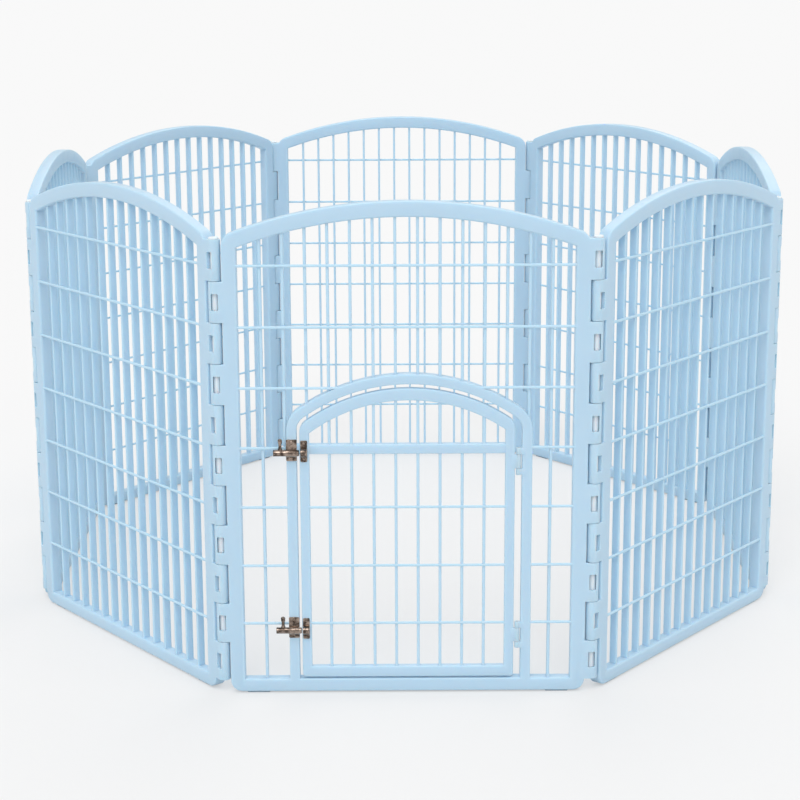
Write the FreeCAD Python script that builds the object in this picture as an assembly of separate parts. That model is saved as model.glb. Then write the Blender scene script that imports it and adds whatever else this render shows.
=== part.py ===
import FreeCAD, Part
import math
import os

from FreeCAD import Vector

# Free-standing pet pen: eight grille panels hinged into a ring, one of them with a latched door.
# Millimetres, +Z up, floor at z = 0, the front (door) panel faces -Y.
# A panel is drawn in its own frame: x along the panel, y = 0 on its hinge axes, -y outside the pen.

# Ring of panels
panel_pitch = 642.5         # hinge axis to hinge axis
corner_turn = 45.0          # turn from panel to panel when the ring is a regular octagon
ring_stretch = 7.0          # how much the stored ring is lengthened front to back, degrees

# Panel frame
crown_height = 864.0        # top of the arched rail above the floor
arch_rise = 58.0            # crown above the theoretical shoulder corner
frame_depth = 22.0
stile_width = 25.5
top_rail_height = 27.0
bottom_rail_height = 23.0
shoulder_radius = 26.0
foot_corner_radius = 20.0
inner_chamfer = 4.0

# Grille
bar_count = 14
bar_pitch = 37.8
bar_width = 5.0
strip_count = 7
strip_pitch = 104.66
strip_height = 4.6
strip_depth = 3.4
lowest_strip = 102.1        # above the bottom rail

# Hinge between panels
knuckle_count = 11          # on one axis, taken in turn by the two panels
knuckle_length = 70.7
hinge_foot = 20.0           # lowest knuckle above the underside of the bottom rail
knuckle_gap = 0.6           # between knuckles, end to end
nose_gap = 0.35             # knuckle nose to the next panel's stile
rod_radius = 6.0
rod_clearance = 0.1
open_pivot_clearance = 0.4
rod_head_reach = 8.5         # across the flats, halved
rod_head_height = 4.0
nose_sides = 8              # knuckle noses and rod heads are eight-sided
window_height = 29.0

# Rubber feet
foot_proud = 3.0            # below the bottom rail
foot_socket = 5.0           # depth of the pocket
foot_length = 40.0
foot_width = 13.0
foot_inset = 48.0           # foot's middle from the stile's outer edge
foot_fit = 0.15

# Doorway in the front panel
doorway_width = 384.7
doorway_offset = 4.35       # doorway middle from the panel middle, towards the hinge side
doorway_top = 553.0
doorway_arch_rise = 66.35   # crown above the theoretical shoulder corner
doorway_shoulder_radius = 28.0
doorway_band = 17.4         # width of the posts and of the arch round the doorway

# Door
door_depth = 14.0
door_recess = 0.3           # door's face behind the panel's face
door_stile_width = 16.5
door_rail_height = 19.0
door_arch_band = 21.0
door_mid_rail_height = 17.0
door_mid_rail_level = 440.0
door_bar_count = 8
door_strip_count = 3
door_chamfer = 2.5
door_rail_step = 1.0        # mid rail behind the faces of the stiles
door_strip_depth = 2.2
latch_side_gap = 5.0
hinge_side_gap = 12.2
door_top_gap = 7.0
door_foot_gap = 3.5
door_shoulder_radius = 24.0
door_foot_radius = 6.0

# Door hinges
door_hinge_levels = (105.5, 417.5)
door_hinge_span = 48.0      # both ears and the barrel between them
door_ear_height = 11.5
door_barrel_reach = 4.3     # across the flats, halved
door_barrel_gap = 0.4       # between ear and barrel, end to end
door_axis_depth = 3.0       # axis behind the panel's face
door_web_width = 6.0
pin_radius = 2.0
pin_clearance = 0.05

# Slide-bolt latches
latch_levels = (118.0, 436.0)
plate_width = 18.5
plate_height = 37.5
plate_thickness = 1.2
plate_lift = 3.2            # plate middle above the bolt's axis
plate_corner = 2.0
bolt_radius = 5.5
bolt_clearance = 0.1
barrel_wall = 1.2
slot_end_wall = 1.8
bolt_length = 44.0
bolt_standoff = 2.0         # tip of the drawn-back bolt from the keeper
knob_radius = 3.8
knob_top = 25.0             # above the bolt's axis
knob_from_tip = 32.2
knob_clearance = 0.25
keeper_width = 11.5
keeper_height = 37.5
keeper_lift = 1.2
keeper_wall = 1.3
keeper_play = 0.6           # round the bolt
keeper_inset = 1.5          # from the door's edge

# Worked-out sizes
half_depth = frame_depth / 2
half_pitch = panel_pitch / 2
nose_reach = half_depth / math.cos(math.pi / nose_sides)
stile_edge = half_pitch - nose_reach - nose_gap
panel_foot = foot_proud
opening_edge = stile_edge - stile_width
opening_foot = panel_foot + bottom_rail_height
arch_radius = (stile_edge ** 2 + arch_rise ** 2) / (2 * arch_rise)
bar_depth = frame_depth - 2 * inner_chamfer
bury = 6.0                  # how far knuckles, posts and webs run into what carries them
hinge_low = panel_foot + hinge_foot
hinge_high = hinge_low + knuckle_count * knuckle_length
doorway_left = doorway_offset - doorway_width / 2
doorway_right = doorway_offset + doorway_width / 2
doorway_arch_radius = ((doorway_width / 2) ** 2 + doorway_arch_rise ** 2) / (2 * doorway_arch_rise)
door_left = doorway_left + latch_side_gap
door_right = doorway_right - hinge_side_gap
door_foot = opening_foot + door_foot_gap
door_front = -half_depth + door_recess
door_back = door_front + door_depth
door_axis_x = doorway_right - hinge_side_gap / 2
door_axis_y = -half_depth + door_axis_depth
bolt_y = -half_depth - plate_thickness - bolt_radius - bolt_clearance
latch_reach = -bolt_y + bolt_radius + keeper_play + keeper_wall

X_AXIS = Vector(1, 0, 0)
Z_AXIS = Vector(0, 0, 1)


def shoulder(arch_x, side_x, arch_z, radius, corner):
    """Where a rounded shoulder leaves the upright side, its middle, and where it meets the arch."""
    side = 1 if side_x > arch_x else -1
    half = abs(side_x - arch_x)
    across = half - corner
    up = math.sqrt((radius - corner) ** 2 - across ** 2)
    middle = Vector(arch_x + side * across, 0, arch_z + up)
    outward = Vector(side * across, 0, up)
    outward.normalize()
    on_side = Vector(side_x, 0, middle.z)
    on_arch = middle + outward * corner
    halfway = outward + Vector(side, 0, 0)
    halfway.normalize()
    return on_side, middle + halfway * corner, on_arch


def foot_corner(side_x, foot_z, side, corner):
    """Rounded lower corner: point on the side, its middle and the point on the bottom."""
    slack = corner * (1 - math.sqrt(0.5))
    on_side = Vector(side_x, 0, foot_z + corner)
    halfway = Vector(side_x - side * slack, 0, foot_z + slack)
    on_foot = Vector(side_x - side * corner, 0, foot_z)
    return on_side, halfway, on_foot


def arched_outline(left, right, foot_z, crown_z, radius, arch_x=0.0, corner=0.0, foot_round=0.0):
    """Closed outline with upright sides, a flat foot and an arched top, its corners rounded if asked."""
    arch_z = crown_z - radius
    crown = Vector(arch_x, 0, crown_z)
    left_side, left_mid, left_arch = shoulder(arch_x, left, arch_z, radius, corner)
    right_side, right_mid, right_arch = shoulder(arch_x, right, arch_z, radius, corner)
    left_up, left_turn, left_foot = foot_corner(left, foot_z, -1, foot_round)
    right_up, right_turn, right_foot = foot_corner(right, foot_z, 1, foot_round)
    edges = [Part.Arc(left_arch, crown, right_arch).toShape()]
    if corner:
        edges.append(Part.Arc(right_arch, right_mid, right_side).toShape())
    edges.append(Part.LineSegment(right_side, right_up).toShape())
    if foot_round:
        edges.append(Part.Arc(right_up, right_turn, right_foot).toShape())
    edges.append(Part.LineSegment(right_foot, left_foot).toShape())
    if foot_round:
        edges.append(Part.Arc(left_foot, left_turn, left_up).toShape())
    edges.append(Part.LineSegment(left_up, left_side).toShape())
    if corner:
        edges.append(Part.Arc(left_side, left_mid, left_arch).toShape())
    return Part.Wire(edges)


def slab(outline, front, back):
    """Solid plate of an outline in the panel's plane, from its front to its back."""
    face = Part.Face(outline)
    face.translate(Vector(0, front, 0))
    return face.extrude(Vector(0, back - front, 0))


def block(x_low, x_high, y_low, y_high, z_low, z_high):
    corner = Vector(x_low, y_low, z_low)
    return Part.makeBox(x_high - x_low, y_high - y_low, z_high - z_low, corner)


def prism(points, z_low, z_high):
    """Upright prism over a plan of (x, y) points."""
    wire = Part.makePolygon([Vector(x, y, z_low) for x, y in points + points[:1]])
    return Part.Face(wire).extrude(Vector(0, 0, z_high - z_low))


def upright(x, y, radius, z_low, z_high):
    return Part.makeCylinder(radius, z_high - z_low, Vector(x, y, z_low), Z_AXIS)


def chamfer_rims(solid, size, low, high):
    """Chamfer the front and back rims whose edges lie between two corners of a box in x and z."""
    front = solid.BoundBox.YMin
    back = solid.BoundBox.YMax
    rims = []
    for edge in solid.Edges:
        box = edge.BoundBox
        flat = box.YLength < 0.01 and (abs(box.YMin - front) < 0.01 or abs(box.YMin - back) < 0.01)
        inside = box.XMin > low[0] and box.XMax < high[0] and box.ZMin > low[1] and box.ZMax < high[1]
        if flat and inside:
            rims.append(edge)
    return solid.makeChamfer(size, rims)


def panel_frame():
    """Two stiles, a bottom rail and an arched top rail, chamfered round the opening."""
    outside = arched_outline(-stile_edge, stile_edge, panel_foot, crown_height, arch_radius,
                             corner=shoulder_radius, foot_round=foot_corner_radius)
    body = slab(outside, -half_depth, half_depth)
    inside = arched_outline(-opening_edge, opening_edge, opening_foot, crown_height - top_rail_height,
                            arch_radius - top_rail_height)
    body = body.cut(slab(inside, -frame_depth, frame_depth))
    near = 0.5
    return chamfer_rims(body, inner_chamfer, (-opening_edge - near, opening_foot - near),
                        (opening_edge + near, crown_height - top_rail_height + near))


def bar_places(count):
    return [(i - (count - 1) / 2) * bar_pitch for i in range(count)]


def strip_levels(count):
    return [opening_foot + lowest_strip + i * strip_pitch for i in range(count)]


def fitted(pieces, frame, doorway=None):
    """Bars or strips trimmed to lie face to face with the frame, and stopped round a doorway."""
    trimmed = Part.makeCompound(pieces).cut([frame] + ([doorway] if doorway else []))
    return trimmed.Solids


def panel_bars(feet):
    """Upright bars, each from its foot into the arched rail."""
    high = crown_height - top_rail_height / 2
    bars = []
    for x, foot in zip(bar_places(bar_count), feet):
        top = high - arch_radius + math.sqrt(arch_radius ** 2 - x ** 2)
        bars.append(block(x - bar_width / 2, x + bar_width / 2, -bar_depth / 2, bar_depth / 2, foot, top))
    return bars


def panel_strips():
    """Cross strips on the outer faces of the bars."""
    edge = opening_edge + inner_chamfer + bury
    back = -bar_depth / 2
    return [block(-edge, edge, back - strip_depth, back, z - strip_height / 2, z + strip_height / 2)
            for z in strip_levels(strip_count)]


def nose_plan(side):
    """Plan of a knuckle: square to the stile, with the far half of a many-sided barrel round the axis."""
    axis = side * half_pitch
    root = side * (stile_edge - bury)
    turns = nose_sides // 4
    points = [(root, -half_depth)]
    for i in range(2 * turns):
        angle = (i + 0.5) * 2 * math.pi / nose_sides - math.pi / 2
        points.append((axis + side * nose_reach * math.cos(angle), nose_reach * math.sin(angle)))
    points.append((root, half_depth))
    return points


def knuckle_ends(index):
    low = hinge_low + index * knuckle_length + knuckle_gap / 2
    return low, low + knuckle_length - knuckle_gap


def knuckles(side):
    """One panel edge's share of the hinge: the even places on the right edge, the odd ones on the left."""
    start = 0 if side > 0 else 1
    return [prism(nose_plan(side), *knuckle_ends(i)) for i in range(start, knuckle_count, 2)]


def rod_bore(side, clearance):
    """Square channel for the round connecting rod, through all the knuckles of one edge."""
    half = rod_radius + clearance
    axis = side * half_pitch
    return block(axis - half, axis + half, -half, half, hinge_low - 1, hinge_high + 1)


def knuckle_windows(side, clearance):
    """Openings in the outer face that show the rod inside each knuckle."""
    half = rod_radius + clearance
    axis = side * half_pitch
    start = 0 if side > 0 else 1
    windows = []
    for i in range(start, knuckle_count, 2):
        middle = sum(knuckle_ends(i)) / 2
        windows.append(block(axis - half, axis + half, -frame_depth, 0,
                             middle - window_height / 2, middle + window_height / 2))
    return windows


def foot_places():
    return (-(stile_edge - foot_inset), stile_edge - foot_inset)


def foot_blocks(grow):
    """The two rubber feet under a panel, or with grow the pockets that hold them."""
    half_length = foot_length / 2 + grow
    half_width = foot_width / 2 + grow
    top = panel_foot + foot_socket
    return [block(x - half_length, x + half_length, -half_width, half_width, 0, top)
            for x in foot_places()]


def grille_panel(left_clearance, extra=(), bar_feet=None, doorway=None):
    """One panel: its frame with the knuckles, bored for the rods and pocketed for the feet, and the
    bars and strips that fill it, face to face."""
    body = panel_frame().fuse(list(extra) + knuckles(-1) + knuckles(1))
    holes = [rod_bore(-1, left_clearance), rod_bore(1, rod_clearance)]
    holes += knuckle_windows(-1, left_clearance) + knuckle_windows(1, rod_clearance)
    holes += foot_blocks(foot_fit)
    body = body.cut(holes).removeSplitter()
    feet = bar_feet or [opening_foot - bottom_rail_height / 2] * bar_count
    bars = fitted(panel_bars(feet), body, doorway)
    strips = fitted(panel_strips(), body, doorway)
    return Part.makeCompound(body.Solids + bars + strips)


def doorway_outline(grow, foot):
    """Outline of the doorway, enlarged all round by grow."""
    return arched_outline(doorway_left - grow, doorway_right + grow, foot, doorway_top + grow,
                          doorway_arch_radius + grow, arch_x=doorway_offset,
                          corner=doorway_shoulder_radius + grow)


def door_knuckle(root, z_low, z_high):
    """Eight-sided barrel on the door's hinge axis, with a web to its root, square-bored for the pin."""
    side = 1 if root > door_axis_x else -1
    corner = door_barrel_reach / math.cos(math.pi / nose_sides)
    points = []
    for i in range(nose_sides):
        angle = (i + 0.5) * 2 * math.pi / nose_sides
        points.append((door_axis_x + corner * math.cos(angle), door_axis_y + corner * math.sin(angle)))
    barrel = prism(points, z_low, z_high)
    half_web = door_web_width / 2
    web = block(min(door_axis_x, root + side * bury), max(door_axis_x, root + side * bury),
                door_axis_y - half_web, door_axis_y + half_web, z_low, z_high)
    return barrel.fuse(web)


def pin_channel(level):
    """Square channel for one hinge pin."""
    half = pin_radius + pin_clearance
    reach = door_hinge_span / 2 + 1
    return block(door_axis_x - half, door_axis_x + half, door_axis_y - half, door_axis_y + half,
                 level - reach, level + reach)


def door_hinge_ears():
    """Lugs on the right post, above and below each door barrel."""
    ears = []
    for level in door_hinge_levels:
        for z in (level - door_hinge_span / 2, level + door_hinge_span / 2 - door_ear_height):
            ears.append(door_knuckle(doorway_right, z, z + door_ear_height))
    return ears


def front_panel():
    """Door panel: the grille stops round an arched doorway between two posts."""
    band = doorway_band
    opening = slab(doorway_outline(0, opening_foot), -half_depth, half_depth)
    posts = slab(doorway_outline(band, panel_foot + bury), -half_depth, half_depth).cut(opening)
    posts = posts.fuse(door_hinge_ears()).cut([pin_channel(level) for level in door_hinge_levels])
    levels = strip_levels(strip_count)
    feet = []
    for x in bar_places(bar_count):
        over_doorway = doorway_left - band - bar_width < x < doorway_right + band + bar_width
        feet.append(levels[door_strip_count] if over_doorway else opening_foot - bottom_rail_height / 2)
    return grille_panel(rod_clearance, [posts], feet, opening)


def door_outline(inset, foot, band, corner=0.0, foot_round=0.0):
    """Outline of the door, or of the window in it when the stiles and the arch band are taken off."""
    drop = door_top_gap + band
    return arched_outline(door_left + inset, door_right - inset, foot, doorway_top - drop,
                          doorway_arch_radius - drop, arch_x=doorway_offset,
                          corner=corner, foot_round=foot_round)


def door_frame():
    """Two stiles, a foot rail, a mid rail and an arched top, chamfered round the window."""
    leaf = slab(door_outline(0, door_foot, 0, door_shoulder_radius, door_foot_radius),
                door_front, door_back)
    window_foot = door_foot + door_rail_height
    window = door_outline(door_stile_width, window_foot, door_arch_band)
    leaf = leaf.cut(slab(window, -frame_depth, frame_depth))
    near = 0.5
    box = window.BoundBox
    leaf = chamfer_rims(leaf, door_chamfer, (box.XMin - near, box.ZMin - near),
                        (box.XMax + near, box.ZMax + near))
    half_rail = door_mid_rail_height / 2
    rail = block(box.XMin - bury, box.XMax + bury, door_front + door_rail_step, door_back - door_rail_step,
                 door_mid_rail_level - half_rail, door_mid_rail_level + half_rail)
    return leaf.fuse([rail] + door_barrels())


def door_barrels():
    """Barrels on the door's right stile, each between two ears of the post."""
    half = door_hinge_span / 2 - door_ear_height - door_barrel_gap
    return [door_knuckle(door_right, level - half, level + half) for level in door_hinge_levels]


def door():
    """The door: its frame, with the bars and strips that fill it face to face."""
    frame = door_frame().cut([pin_channel(level) for level in door_hinge_levels]).removeSplitter()
    front = door_front + door_chamfer
    back = door_back - door_chamfer
    low = door_foot + door_rail_height / 2
    drop = door_top_gap + door_arch_band / 2
    radius = doorway_arch_radius - drop
    bars = []
    for x in bar_places(door_bar_count):
        high = doorway_top - doorway_arch_radius + math.sqrt(radius ** 2 - (x - doorway_offset) ** 2)
        bars.append(block(x - bar_width / 2, x + bar_width / 2, front, back, low, high))
    strips = []
    for z in strip_levels(door_strip_count):
        strips.append(block(door_left + bury, door_right - bury, front - door_strip_depth, front,
                            z - strip_height / 2, z + strip_height / 2))
    return Part.makeCompound(frame.Solids + fitted(bars, frame) + fitted(strips, frame))


def hinge_pin(level):
    """Pin through two ears and the barrel between them."""
    half = door_hinge_span / 2
    return upright(door_axis_x, door_axis_y, pin_radius, level - half, level + half)


def connecting_rod():
    """Rod that drops through all the knuckles of one hinge, with an eight-sided head; drawn at x = y = 0."""
    seat = hinge_high - knuckle_gap / 2
    shank = upright(0, 0, rod_radius, hinge_low + knuckle_gap / 2, seat)
    corner = rod_head_reach / math.cos(math.pi / nose_sides)
    points = []
    for i in range(nose_sides):
        angle = (i + 0.5) * 2 * math.pi / nose_sides
        points.append((corner * math.cos(angle), corner * math.sin(angle)))
    return shank.fuse(prism(points, seat, seat + rod_head_height))


def latch_plate_x():
    post_middle = doorway_left - doorway_band / 2
    return post_middle - plate_width / 2, post_middle + plate_width / 2


def cornered_plate(x_low, x_high, front, back, z_low, z_high):
    """Thin plate with clipped corners, in the panel's plane."""
    cut = plate_corner
    points = [(x_low + cut, z_low), (x_high - cut, z_low), (x_high, z_low + cut), (x_high, z_high - cut),
              (x_high - cut, z_high), (x_low + cut, z_high), (x_low, z_high - cut), (x_low, z_low + cut)]
    outline = Part.makePolygon([Vector(x, 0, z) for x, z in points + points[:1]])
    return slab(outline, front, back)


def barrel_plate(level):
    """Latch plate on the post, with the slotted barrel that guides the bolt."""
    low, high = latch_plate_x()
    middle = level + plate_lift
    plate = cornered_plate(low, high, -half_depth - plate_thickness, -half_depth,
                           middle - plate_height / 2, middle + plate_height / 2)
    bore = bolt_radius + bolt_clearance
    start = Vector(low, bolt_y, level)
    sleeve = Part.makeCylinder(bore + barrel_wall, high - low, start, X_AXIS)
    sleeve = sleeve.cut(block(low - 1, high + 1, -half_depth - plate_thickness / 2, 0,
                              level - plate_height, level + plate_height))
    hole = Part.makeCylinder(bore, high - low + 2, start - X_AXIS, X_AXIS)
    half_slot = knob_radius + knob_clearance
    slot = block(low - 1, high - slot_end_wall, bolt_y - half_slot, bolt_y + half_slot,
                 level, level + plate_height)
    slot = slot.cut(block(low - 2, high, -half_depth - plate_thickness, 0,
                          level - 1, level + plate_height + 1))
    return plate.fuse(sleeve).cut([hole, slot]).removeSplitter()


def keeper_x():
    low = door_left + keeper_inset
    return low, low + keeper_width


def slide_bolt(level):
    """Round bolt with its knob, drawn back clear of the keeper."""
    tip = keeper_x()[0] - bolt_standoff
    rod = Part.makeCylinder(bolt_radius, bolt_length, Vector(tip - bolt_length, bolt_y, level), X_AXIS)
    knob = upright(tip - knob_from_tip, bolt_y, knob_radius, level, level + knob_top)
    return rod.fuse(knob).removeSplitter()


def keeper(level):
    """Strap on the door that the bolt shoots into."""
    low, high = keeper_x()
    middle = level + keeper_lift
    face = door_front - plate_thickness
    plate = cornered_plate(low, high, face, door_front, middle - keeper_height / 2,
                           middle + keeper_height / 2)
    inner = bolt_radius + keeper_play
    outer = inner + keeper_wall
    length = high - low
    strap = Part.makeCylinder(outer, length, Vector(low, bolt_y, level), X_AXIS)
    strap = strap.common(block(low, high, bolt_y - outer - 1, bolt_y, level - outer, level + outer))
    walls = block(low, high, bolt_y, face, level - outer, level + outer)
    hole = Part.makeCylinder(inner, length + 2, Vector(low - 1, bolt_y, level), X_AXIS)
    passage = block(low - 1, high + 1, bolt_y, face, level - inner, level + inner)
    return plate.fuse(strap.fuse(walls).cut([hole, passage])).removeSplitter()


def ring():
    """Headings and left hinge axes of the eight panels, in order from the front one."""
    near = corner_turn + ring_stretch
    far = corner_turn - ring_stretch
    turns = (near, far, far, near)
    heading = 0.0
    headings = []
    for i in range(8):
        headings.append(heading)
        heading += turns[i % 4]
    steps = [Vector(math.cos(math.radians(h)), math.sin(math.radians(h)), 0) * panel_pitch
             for h in headings]
    half_width = sum(abs(step.x) for step in steps) / 4
    half_length = sum(abs(step.y) for step in steps) / 4
    # The latches stand out further than the back panel, so the pen is set back to centre its box.
    set_back = (latch_reach - half_depth) / 2
    corner = Vector(-half_pitch, -half_length + set_back, 0)
    corners = []
    for step in steps:
        corners.append(corner)
        corner = corner + step
    return headings, corners, steps


PANELS = ("front", "front_right", "right", "back_right", "back", "back_left", "left", "front_left")
OPEN_PIVOT_PANEL = "back_left"    # its left edge closes the ring


def placed(shape, heading, point):
    copy = shape.copy()
    copy.Placement = FreeCAD.Placement(point, FreeCAD.Rotation(Z_AXIS, heading))
    return copy


def parts():
    """Every piece by name, in its place in the pen."""
    headings, corners, steps = ring()
    middles = [corner + step * 0.5 for corner, step in zip(corners, steps)]
    plain = grille_panel(rod_clearance)
    closing = grille_panel(open_pivot_clearance)
    feet = Part.makeCompound(foot_blocks(0))
    rod = connecting_rod()
    pieces = {}
    for name, heading, middle, corner, step in zip(PANELS, headings, middles, corners, steps):
        if name == "front":
            shape = front_panel()
        elif name == OPEN_PIVOT_PANEL:
            shape = closing
        else:
            shape = plain
        pieces[name + "_panel"] = placed(shape, heading, middle)
        pieces[name + "_feet"] = placed(feet, heading, middle)
        pieces[name + "_connecting_rod"] = placed(rod, heading, corner + step)
    pieces["door"] = placed(door(), 0, middles[0])
    for place, latch_level, hinge_level in zip(("lower", "upper"), latch_levels, door_hinge_levels):
        pieces[place + "_door_hinge_pin"] = placed(hinge_pin(hinge_level), 0, middles[0])
        pieces[place + "_latch_plate"] = placed(barrel_plate(latch_level), 0, middles[0])
        pieces[place + "_latch_bolt"] = placed(slide_bolt(latch_level), 0, middles[0])
        pieces[place + "_latch_keeper"] = placed(keeper(latch_level), 0, middles[0])
    return pieces


os.makedirs("parts", exist_ok=True)
for part_name, part_shape in parts().items():
    part_shape.exportStep("parts/" + part_name + ".step")
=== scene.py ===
"""Pet pen of eight hinged grille panels, with a latched door in the front one.

A panel is drawn in its own frame, as the front panel stands before it is set back: x along the
panel, y = 0 on its hinge axes, -y outside the pen, z up from the floor. Lengths are in metres.
"""

import math

import bmesh
import bpy
from bpy.props import FloatProperty, FloatVectorProperty, IntProperty, PointerProperty
from mathutils import Matrix, Vector


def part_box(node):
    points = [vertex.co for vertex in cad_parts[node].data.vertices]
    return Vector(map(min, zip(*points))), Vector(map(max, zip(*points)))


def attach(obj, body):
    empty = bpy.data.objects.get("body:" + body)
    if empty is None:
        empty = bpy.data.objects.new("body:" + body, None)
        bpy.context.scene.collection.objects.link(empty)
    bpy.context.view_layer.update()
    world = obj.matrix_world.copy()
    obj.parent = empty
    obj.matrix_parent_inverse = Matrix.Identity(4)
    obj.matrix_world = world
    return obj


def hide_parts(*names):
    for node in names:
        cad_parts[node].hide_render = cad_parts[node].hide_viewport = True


bl_info = {
    "name": "Pet Pen",
    "version": (1, 0, 0),
    "blender": (4, 5, 0),
    "location": "3D View > Sidebar > Pet Pen",
    "description": "Moulded panels, door, rods, feet, latches and studio of a folding pet pen",
    "category": "Object",
}

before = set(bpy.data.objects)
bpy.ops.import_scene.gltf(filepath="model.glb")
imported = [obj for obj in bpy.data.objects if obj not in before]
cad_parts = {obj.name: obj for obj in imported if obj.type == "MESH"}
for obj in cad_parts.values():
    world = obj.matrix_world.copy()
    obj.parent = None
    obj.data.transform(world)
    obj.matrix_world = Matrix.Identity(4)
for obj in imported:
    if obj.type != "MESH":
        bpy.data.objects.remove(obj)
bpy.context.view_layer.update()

MM = 0.001
TOUCH = 0.01 * MM           # points this near are one
PANELS = ("front", "front_right", "right", "back_right", "back", "back_left", "left", "front_left")
LATCHES = ("lower", "upper")
KNUCKLES = 11               # on one hinge, taken in turn by its two panels
SMOOTH_ANGLE = math.radians(32)
STEPS_OF_ARCH = 48
STEPS_OF_SHOULDER = 10
ALONG_X = Matrix.Rotation(math.pi / 2, 4, "Y")
FINISHES = {"panel_plastic": "Pale plastic", "rod_plastic": "Rod plastic",
            "foot_rubber": "Foot rubber", "latch_chrome": "Latch metal", "pin_steel": "Pin steel"}


def axis_of(node):
    """Where an upright pin or rod stands in plan."""
    low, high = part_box(node)
    return Vector(((low.x + high.x) / 2, (low.y + high.y) / 2, 0))


def panel_places():
    """Each panel's place in the pen, from the rods at its two edges."""
    places = {}
    for i, name in enumerate(PANELS):
        left = axis_of(PANELS[i - 1] + "_connecting_rod")
        right = axis_of(name + "_connecting_rod")
        along = right - left
        turn = Matrix.Rotation(math.atan2(along.y, along.x), 4, "Z")
        places[name] = Matrix.Translation((left + right) / 2) @ turn
    return places


PLACES = panel_places()
FRONT = PLACES["front"]
FRONT_Y = FRONT.translation.y
PITCH = (axis_of("front_connecting_rod") - axis_of("front_left_connecting_rod")).length
BACK_LOW, BACK_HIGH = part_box("back_panel")


# Sizes and colours that can be changed

def length(name, millimetres, description):
    return FloatProperty(name=name, description=description, default=millimetres * MM, min=0.0,
                         precision=4, unit="LENGTH", subtype="DISTANCE")


def linear(level):
    """Light level of one 8-bit sRGB value."""
    share = level / 255
    return share / 12.92 if share <= 0.04045 else ((share + 0.055) / 1.055) ** 2.4


def colour(name, red, green, blue, description):
    return FloatVectorProperty(name=name, description=description, subtype="COLOR", size=4,
                               min=0.0, max=1.0,
                               default=(linear(red), linear(green), linear(blue), 1.0))


class PenPanelSizes(bpy.types.PropertyGroup):
    """Sizes of a grille panel."""
    depth: length("Depth", (BACK_HIGH.y - BACK_LOW.y) / MM, "Panel from front to back")
    foot: length("Foot", BACK_LOW.z / MM, "Underside of the bottom rail above the floor")
    crown: length("Crown", BACK_HIGH.z / MM, "Top of the arched rail above the floor")
    edge: length("Half width", 308.99, "Panel middle to the outer edge of a stile")
    arch_rise: length("Arch rise", 58, "Crown above the square shoulder corner")
    stile: length("Stile", 25.5, "Width of the upright sides")
    top_rail: length("Top rail", 27, "Height of the arched rail")
    bottom_rail: length("Bottom rail", 23, "Height of the bottom rail")
    shoulder: length("Shoulder", 26, "Radius of the rounded upper corners")
    foot_corner: length("Foot corner", 20, "Radius of the rounded lower corners")
    opening_round: length("Inner rounding", 3.8, "Rounding of the rims round the grille")
    edge_round: length("Outer rounding", 2.4, "Rounding of the outer rims")
    bar_width: length("Bar width", 5, "Face of an upright bar")
    bar_depth: length("Bar depth", 14, "Upright bar from front to back")
    bar_pitch: length("Bar pitch", 37.8, "Bar to bar")
    bar_round: length("Bar rounding", 1.5, "Rounding of the bars' long edges")
    bars: IntProperty(name="Bars", description="Upright bars in a panel", default=14, min=1)
    strip_height: length("Strip height", 4.6, "Face of a cross strip")
    strip_depth: length("Strip depth", 3.4, "How far a cross strip stands before the bars")
    strip_first: length("First strip", 102.1, "Lowest strip above the bottom rail")
    strip_pitch: length("Strip pitch", 104.66, "Strip to strip")
    strip_round: length("Strip rounding", 1.8, "Rounding of the strips' long edges")
    strips: IntProperty(name="Strips", description="Cross strips in a panel", default=7, min=1)
    knuckle: length("Knuckle", 70.7, "Knuckle to knuckle up a hinge")
    knuckle_gap: length("Knuckle gap", 0.6, "Air between two knuckles")
    hinge_low: length("Hinge foot", 23, "Lowest knuckle above the floor")
    knuckle_round: length("Knuckle rounding", 1.2, "Rounding of a knuckle's ends")
    window: length("Window", 29, "Height of the opening that shows the rod")
    rod_room: length("Rod room", 6.1, "Radius of the bore through the knuckles")


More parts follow.
